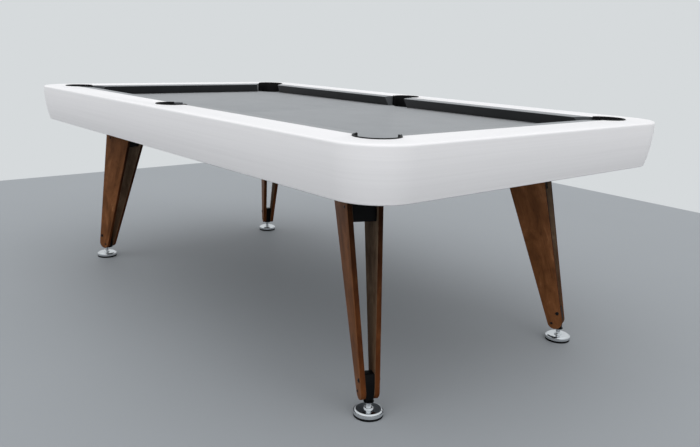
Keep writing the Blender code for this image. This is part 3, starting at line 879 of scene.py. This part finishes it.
def between_boards(height):
    """Half the clear width between a leg's boards at a height."""
    middle = BOARDS_APART_LOW / 2 + (height - BOARD_END_HEIGHT) * math.tan(LEG_TILT)
    return middle - BOARD / 2 / math.cos(LEG_TILT) - GAP


def leg_place(place):
    """The matrix that carries a piece from a leg's own frame to its place on the table."""
    sx, sy, heading = LEGS[place]
    return Matrix.Translation((sx * FOOT_X, sy * FOOT_Y, 0)) @ Matrix.Rotation(heading, 4, "Z")


def board_place(sign):
    """Where one of a leg's two boards stands in the leg's own frame."""
    shift = Matrix.Translation((0, sign * BOARDS_APART_LOW / 2, BOARD_END_HEIGHT))
    return shift @ Matrix.Rotation(-sign * LEG_TILT, 4, "X")


# How far apart the grain is taken for a board's narrow edges, its other face and the next board
EDGE_GRAIN_SHIFT = 0.31
FACE_GRAIN_SHIFT = 0.9
BOARD_GRAIN_SHIFT = (0.37, 1.7)


def lay_grain(board):
    """A UV map in metres with the grain along the board's middle line. The broad faces and the
    narrow edges have their own cuts of wood."""
    grain = board.data.uv_layers.new(name="grain")
    lean = math.atan2(LEG_TOP_MIDDLE - BOARD_END_SHIFT, BOARD_TOP - BOARD_END_HEIGHT)
    sideways = 0.5
    for face in board.data.polygons:
        broad = abs(face.normal.y) > sideways
        # Narrow edges take the second finish and one broad face the third, the walnut with painted
        # shade
        face.material_index = 1 if not broad else 0 if face.normal.y > 0 else 2
        for index in face.loop_indices:
            x, y, z = board.data.vertices[board.data.loops[index].vertex_index].co
            across = y + EDGE_GRAIN_SHIFT
            if broad:
                across = x * math.cos(lean) - z * math.sin(lean)
            if face.material_index == 2:
                across += FACE_GRAIN_SHIFT
            grain.data[index].uv = (across, x * math.sin(lean) + z * math.cos(lean))


def leg_boards():
    """Eight tapered walnut boards, each with its own stretch of grain."""
    outer = tangent_angle(BOARD_CORNER_OUT, -1)
    inner = tangent_angle(BOARD_CORNER_IN, 1)
    if inner > outer:
        inner -= 2 * math.pi
    middle = (BOARD_END_SHIFT, BOARD_END_HEIGHT)
    outline = arc(middle, BOARD_END_RADIUS, outer, inner, BOARD_END_STEPS)
    outline += [BOARD_CORNER_IN, BOARD_CORNER_OUT]
    points = [(r, -BOARD / 2, z - BOARD_END_HEIGHT) for r, z in outline]
    plank = extruded("plank", points, (0, BOARD, 0))
    round_edges(plank, BOARD_EDGE, segments=3)
    lay_grain(plank)
    count = 0
    for place in LEGS:
        for side, sign in (("left", 1), ("right", -1)):
            count += 1
            stand = leg_place(place) @ board_place(sign)
            board = copied(plank, f"walnut_board_{place}_{side}", stand)
            shift = Vector(BOARD_GRAIN_SHIFT) * count
            for corner in board.data.uv_layers["grain"].data:
                corner.uv = corner.uv + shift
            # Outer faces get plain walnut; narrow edges and inner faces get the walnut with painted
            # shade
            cuts = [WALNUT, EDGE_WALNUT_PAINTED_SHADE, INNER_WALNUT_LIGHT_AND_SHADE]
            if sign < 0:
                cuts.reverse()
            finish_piece(board, "table", cuts, [f"leg_{place}_board_{side}"])
    drop(plank)


def bracket():
    """A web that fills the space between a leg's boards, under a plate."""
    low, high = BRACKET_BOTTOM, PLATE_BOTTOM + BRACKET_PLATE / 2
    low_out = edge_at(BOARD_CORNER_OUT, -1, low) - BRACKET_SETBACK
    low_in = edge_at(BOARD_CORNER_IN, 1, low) + BRACKET_SETBACK
    high_out = BOARD_TOP_OUT - BRACKET_SETBACK
    high_in = BOARD_TOP_IN + BRACKET_SETBACK
    web = box("bracket", (0, 0, 0), (2, 2, 2))
    for corner in web.data.vertices:
        x, y, z = corner.co
        far, near, height = (high_out, high_in, high) if z > 0 else (low_out, low_in, low)
        corner.co = (far if x > 0 else near, math.copysign(between_boards(height), y), height)
    size = (PLATE_LENGTH, PLATE_WIDTH, BRACKET_PLATE)
    boolean(web, box("plate", (LEG_TOP_MIDDLE, 0, high), size), "UNION")
    round_edges(web, STEEL_EDGE, segments=3)
    return web


def foot_block():
    """A block between the lower ends of a leg's boards, bored for the foot's stud."""
    high = BOARD_BOTTOM + BLOCK_HEIGHT
    side = [
        (BLOCK_IN, BOARD_BOTTOM),
        (BLOCK_OUT, BOARD_BOTTOM),
        (BLOCK_OUT, BORE_TOP),
        (edge_at(BOARD_CORNER_OUT, -1, high) - BLOCK_SETBACK, high),
        (BLOCK_IN, high),
    ]
    block = extruded("block", [(r, -1, z) for r, z in side], (0, 2, 0))
    for corner in block.data.vertices:
        corner.co.y = math.copysign(between_boards(corner.co.z), corner.co.y)
    round_edges(block, STEEL_EDGE, segments=3)
    length = 2 * (BORE_TOP - BOARD_BOTTOM)
    bore = bar("bore", BORE_SIDES, STUD_RADIUS + STUD_CLEARANCE, length, (0, 0, BOARD_BOTTOM))
    boolean(block, settle(bore))
    return block


def brackets_and_blocks():
    """Black steel between the boards of each leg."""
    web = bracket()
    block = foot_block()
    for place in LEGS:
        for made, kind in ((web, "bracket"), (block, "block")):
            piece = copied(made, f"steel_{kind}_{place}", leg_place(place))
            finish_piece(piece, "table", [STEEL], [f"leg_{place}_{kind}"])
    drop(web, block)


def button_head(name, radius, height, shank):
    """A low domed screw head with a hexagon socket, its shank going down from Z = 0."""
    flat = 0.55 * radius
    rim = 0.3 * height
    stem = 0.5 * radius
    profile = [(0, height), (flat, height)]
    for i in range(1, HEAD_STEPS + 1):
        angle = math.pi / 2 * (1 - i / HEAD_STEPS)
        out = flat + (radius - flat) * math.cos(angle)
        profile.append((out, rim + (height - rim) * math.sin(angle)))
    profile += [(radius, 0), (stem, 0), (stem, -shank), (0, -shank)]
    head = turned(name, profile, HEAD_SIDES)
    hexagon = bar("socket", 6, 0.48 * radius, height, (0, 0, 0.95 * height))
    boolean(head, settle(hexagon))
    round_edges(head, HEAD_EDGE, segments=2)
    return head


def through_bolt(head):
    """A bolt across a leg at its height, with a head at each end."""
    through = BOARD / math.cos(LEG_TILT)
    grip = between_boards(BOLT_HEIGHT) + through + BOLT_HEAD_RADIUS * math.sin(LEG_TILT) + 2 * GAP
    rod = [(0, grip), (BOLT_RADIUS, grip), (BOLT_RADIUS, -grip), (0, -grip)]
    parts = [turned("bolt", rod, BOLT_SIDES)]
    for turn in (0, math.pi):
        seat = Matrix.Translation((0, 0, grip - BOLT_HEAD_SINK))
        parts.append(copied(head, "bolt_end", Matrix.Rotation(turn, 4, "X") @ seat))
    bolt = join(parts, "bolt")
    across = Matrix.Rotation(math.pi / 2, 4, "X")
    bolt.data.transform(Matrix.Translation((BOLT_SHIFT, 0, BOLT_HEIGHT)) @ across)
    return bolt


def screw_places():
    """Matrices in a leg's own frame for the screws in its boards and those under its plate."""
    places = []
    for sign in (1, -1):
        outwards = Matrix.Rotation(-sign * math.pi / 2, 4, "X")
        for r, z in SCREWS:
            on_face = Matrix.Translation((r, sign * (BOARD / 2 - GAP), z - BOARD_END_HEIGHT))
            places.append(board_place(sign) @ on_face @ outwards)
    downwards = Matrix.Rotation(math.pi, 4, "X")
    for dx in (-1, 1):
        for dy in (-1, 1):
            x = LEG_TOP_MIDDLE + dx * (PLATE_LENGTH / 2 - PLATE_SCREW_INSET)
            under = Matrix.Translation((x, dy * PLATE_SCREW_OUT, PLATE_BOTTOM + GAP))
            places.append(under @ downwards)
    return places


def fasteners():
    """The bolt through each leg's block, and the screws in its boards and its top plate."""
    head = button_head("head", BOLT_HEAD_RADIUS, BOLT_HEAD, BOLT_SHANK)
    screw = button_head("screw", SCREW_RADIUS, SCREW_HEAD, SCREW_SHANK)
    bolt = through_bolt(head)
    for place in LEGS:
        stand = leg_place(place)
        made = copied(bolt, "through_bolt_" + place, stand)
        finish_piece(made, "table", [SCREW], [f"leg_{place}_bolt"])
        heads = [copied(screw, "screw_head", stand @ seat) for seat in screw_places()]
        made = join(heads, "leg_screws_" + place)
        finish_piece(made, "table", [SCREW])
    drop(head, screw, bolt)


def disc_profile():
    """Chromed foot from the stud's tip down to the underside of the disc."""
    points = [(0, STUD_TOP), (STUD_RADIUS - STUD_TIP, STUD_TOP)]
    neck_top = BOSS_TOP + NECK
    height = STUD_TOP - STUD_TIP
    while height - THREAD_PITCH > neck_top:
        root = STUD_RADIUS - THREAD_DEPTH
        crest_end = height - THREAD_CREST
        root_start = crest_end - THREAD_FLANK
        points += [(STUD_RADIUS, height), (STUD_RADIUS, crest_end)]
        points += [(root, root_start), (root, root_start - THREAD_ROOT)]
        height -= THREAD_PITCH
    points += [(STUD_RADIUS - SOFT, neck_top), (STUD_RADIUS - SOFT, BOSS_TOP + SOFT)]
    points += [(STUD_RADIUS, BOSS_TOP), (BOSS_RADIUS - BOSS_ROUND - SOFT, BOSS_TOP)]
    middle = (BOSS_RADIUS - BOSS_ROUND, BOSS_TOP - BOSS_ROUND)
    points += arc(middle, BOSS_ROUND, math.pi / 2, 0, steps=8)
    points += [(BOSS_RADIUS, DISC_TOP + SOFT), (BOSS_RADIUS + SOFT, DISC_TOP)]
    # A turned shoulder that faces up and out, a narrow ledge under it, an upright side and an
    # undercut
    points += [(DISC_FLAT_RADIUS - 2 * SOFT, DISC_TOP), (DISC_FLAT_RADIUS - SOFT, DISC_TOP)]
    points.append((DISC_FLAT_RADIUS, DISC_TOP - 2 * FINE))
    middle = (
        DISC_FLAT_RADIUS + 4 * FINE - SHOULDER_ROUND * math.cos(SHOULDER_STEEP),
        DISC_TOP - 5 * FINE - SHOULDER_ROUND * math.sin(SHOULDER_STEEP),
    )
    points += arc(middle, SHOULDER_ROUND, SHOULDER_STEEP, SHOULDER_FLAT, steps=8)
    r, z = points[-1]
    ledge = z - LEDGE_STEP
    points += [(r, ledge + FINE), (r + FINE, ledge)]
    middle = (DISC_RADIUS - LEDGE_ROUND, ledge - LEDGE_ROUND)
    points += arc(middle, LEDGE_ROUND, math.pi / 2, 0, steps=5)
    points.append((DISC_RADIUS, DISC_BOTTOM + UNDERCUT + 3 * FINE))
    points.append((DISC_RADIUS - 2 * FINE, DISC_BOTTOM + UNDERCUT))
    points.append((DISC_RADIUS - UNDERCUT, DISC_BOTTOM + 2 * FINE))
    points.append((DISC_RADIUS - UNDERCUT - 3 * FINE, DISC_BOTTOM))
    points.append((0, DISC_BOTTOM))
    return points


def pad_profile():
    """Rubber pad with two shallow grooves round its side, which leave three ribs."""
    points = [(0, PAD), (PAD_RADIUS - 8 * FINE, PAD), (PAD_RADIUS, PAD - SOFT)]
    for height in PAD_GROOVES:
        points += [
            (PAD_RADIUS, height + 4 * FINE),
            (PAD_RADIUS - SOFT, height + FINE),
            (PAD_RADIUS - SOFT, height - FINE),
            (PAD_RADIUS, height - 4 * FINE),
        ]
    points += [(PAD_RADIUS, 7 * FINE), (PAD_RADIUS - 7 * FINE, 0), (0, 0)]
    return points


def collar_profile():
    """Black lock collar: a ring with softened corners and a groove."""
    bore = STUD_RADIUS + STUD_CLEARANCE
    middle = (COLLAR_LOW + COLLAR_TOP) / 2
    edge = 7 * FINE
    return [
        (bore, COLLAR_TOP),
        (COLLAR_RADIUS - edge, COLLAR_TOP),
        (COLLAR_RADIUS, COLLAR_TOP - edge),
        (COLLAR_RADIUS, middle + SOFT),
        (COLLAR_RADIUS - 5 * FINE, middle),
        (COLLAR_RADIUS, middle - SOFT),
        (COLLAR_RADIUS, COLLAR_LOW + edge),
        (COLLAR_RADIUS - edge, COLLAR_LOW),
        (bore + SOFT, COLLAR_LOW),
        (bore, COLLAR_LOW + SOFT),
    ]


def feet():
    """Four levelling feet: chromed disc with its threaded stud, rubber pad, and lock collar."""
    disc = turned("disc", disc_profile(), FOOT_SIDES)
    pad = turned("pad", pad_profile(), FOOT_SIDES)
    collar = turned("collar", collar_profile(), COLLAR_SIDES, closed=True)
    for place in LEGS:
        kinds = (
            (disc, "chrome_foot_", "disc_" + place, CHROME, "chrome", "disc"),
            (pad, "rubber_pad_", "pad_" + place, RUBBER, "black_rubber", "pad"),
            (collar, "lock_collar_", "table", STEEL, "black_steel", "collar"),
        )
        for made, name, body, finish, slot, node in kinds:
            piece = copied(made, name + place, leg_place(place))
            finish_piece(piece, body, [finish], [f"foot_{place}_{node}"])
    drop(disc, pad, collar)


def chassis():
    """The slate and the beams keep their CAD shapes and get their own stone and wood."""
    nodes["slate_bed"].material_slots[0].material = SLATE_STONE
    for name, thing in nodes.items():
        if name.startswith("long_beam"):
            thing.material_slots[0].material = PINE_LONG
        elif name.startswith("cross_beam"):
            thing.material_slots[0].material = PINE_CROSS


def seen_ray(tree):
    """A socket that is 1 for what the camera sees, straight or in a mirror, and 0 for thrown
    light."""
    path = add_node(tree, "LightPath")
    seen = path.outputs["Is Camera Ray"]
    for ray in ("Is Glossy Ray", "Is Transmission Ray"):
        seen = combined(tree, seen, path.outputs[ray], "MAXIMUM")
    return seen


def studio_floor():
    """Plain grey floor that ends at the foot of the wall."""
    near, left, right = -8.0, -3.165, 8.0
    back_left, back_right = 3.34, 2.59
    clear()
    bpy.ops.mesh.primitive_plane_add(size=2.0)
    floor = bpy.context.object
    floor.name = "studio_floor"
    corners = ((left, near), (right, near), (left, back_left), (right, back_right))
    for corner, (x, y) in zip(floor.data.vertices, corners):
        corner.co = (x, y, 0)
    made, tree, shader = new_material("poured_floor", Roughness=0.62, Specular_IOR_Level=0.3)
    cloud = noise(tree, place_in_metres(tree), scale=0.9, detail=4.0)
    tint = ramp(tree, cloud, [(0.25, "#9ba0a4"), (0.75, "#9ea3a7")])
    # The floor throws little light up at the table, as one does that has the table's shade on it
    shade = blended(tree, {0: seen_ray(tree), 7: tint}, {6: srgb("#73777b")})
    tree.links.new(shade, shader.inputs["Base Color"])
    floor.data.materials.append(made)


def studio_light():
    """Pale wall as the world's colour, and soft light from above."""
    world = bpy.data.worlds.new("studio")
    bpy.context.scene.world = world
    world.use_nodes = True
    tree = world.node_tree
    tree.nodes.clear()
    # The ceiling is brighter than the walls
    rise = height_of(tree, add_node(tree, "TexCoord").outputs["Generated"])
    thrown = mapped(tree, rise, 0.63, 0.86)
    light = add_node(tree, "Background", {"Color": srgb("#fdfdff")}, {"Strength": thrown})
    lit = mapped(tree, rise, 1.0, 1.25, start=0.45, end=0.75)
    wall = add_node(tree, "Background", {"Color": srgb("#d6dadc")}, {"Strength": lit})
    links = {0: seen_ray(tree), 1: light.outputs[0], 2: wall.outputs[0]}
    both = add_node(tree, "MixShader", links=links)
    add_node(tree, "OutputWorld", links={"Surface": both.outputs[0]})

    clear()
    bpy.ops.object.light_add(type="SUN", location=(0, 0, 3))
    lamp = bpy.context.object
    lamp.name = "skylight"
    shines_from = Vector((0.68, -0.63, 0.9))
    lamp.rotation_euler = (-shines_from).to_track_quat("-Z", "Y").to_euler()
    lamp.data.angle = math.radians(110)
    lamp.data.energy = 1.26
    lamp.visible_glossy = False


def camera():
    """The photograph's viewpoint: place in metres, heading, dip and roll in radians, lens in
    millimetres."""
    place = (2.3222, -1.7071, 1.0211)
    heading, dip, roll = 0.8678, 0.2444, 0.0306
    level = Vector((-math.sin(heading), math.cos(heading), 0))
    ahead = level * math.cos(dip) - Vector((0, 0, math.sin(dip)))
    right = Vector((math.cos(heading), math.sin(heading), 0))
    up = right.cross(ahead)
    rolled_right = math.cos(roll) * right + math.sin(roll) * up
    rolled_up = math.cos(roll) * up - math.sin(roll) * right
    turn = Matrix((rolled_right, rolled_up, -ahead)).transposed().to_4x4()
    clear()
    bpy.ops.object.camera_add()
    made = bpy.context.object
    made.matrix_world = Matrix.Translation(place) @ turn
    made.data.sensor_fit = "HORIZONTAL"
    made.data.sensor_width = 36.0
    made.data.lens = 36.704
    made.data.clip_end = 60.0
    bpy.context.scene.camera = made


cutter = pocket_cutter()
white_body(cutter)
bed_cloth(cutter)
drop(cutter)
pocket_liners()
cushions()
leg_boards()
brackets_and_blocks()
fasteners()
feet()
chassis()
studio_floor()
studio_light()
camera()
bpy.context.scene.view_settings.view_transform = "Standard"
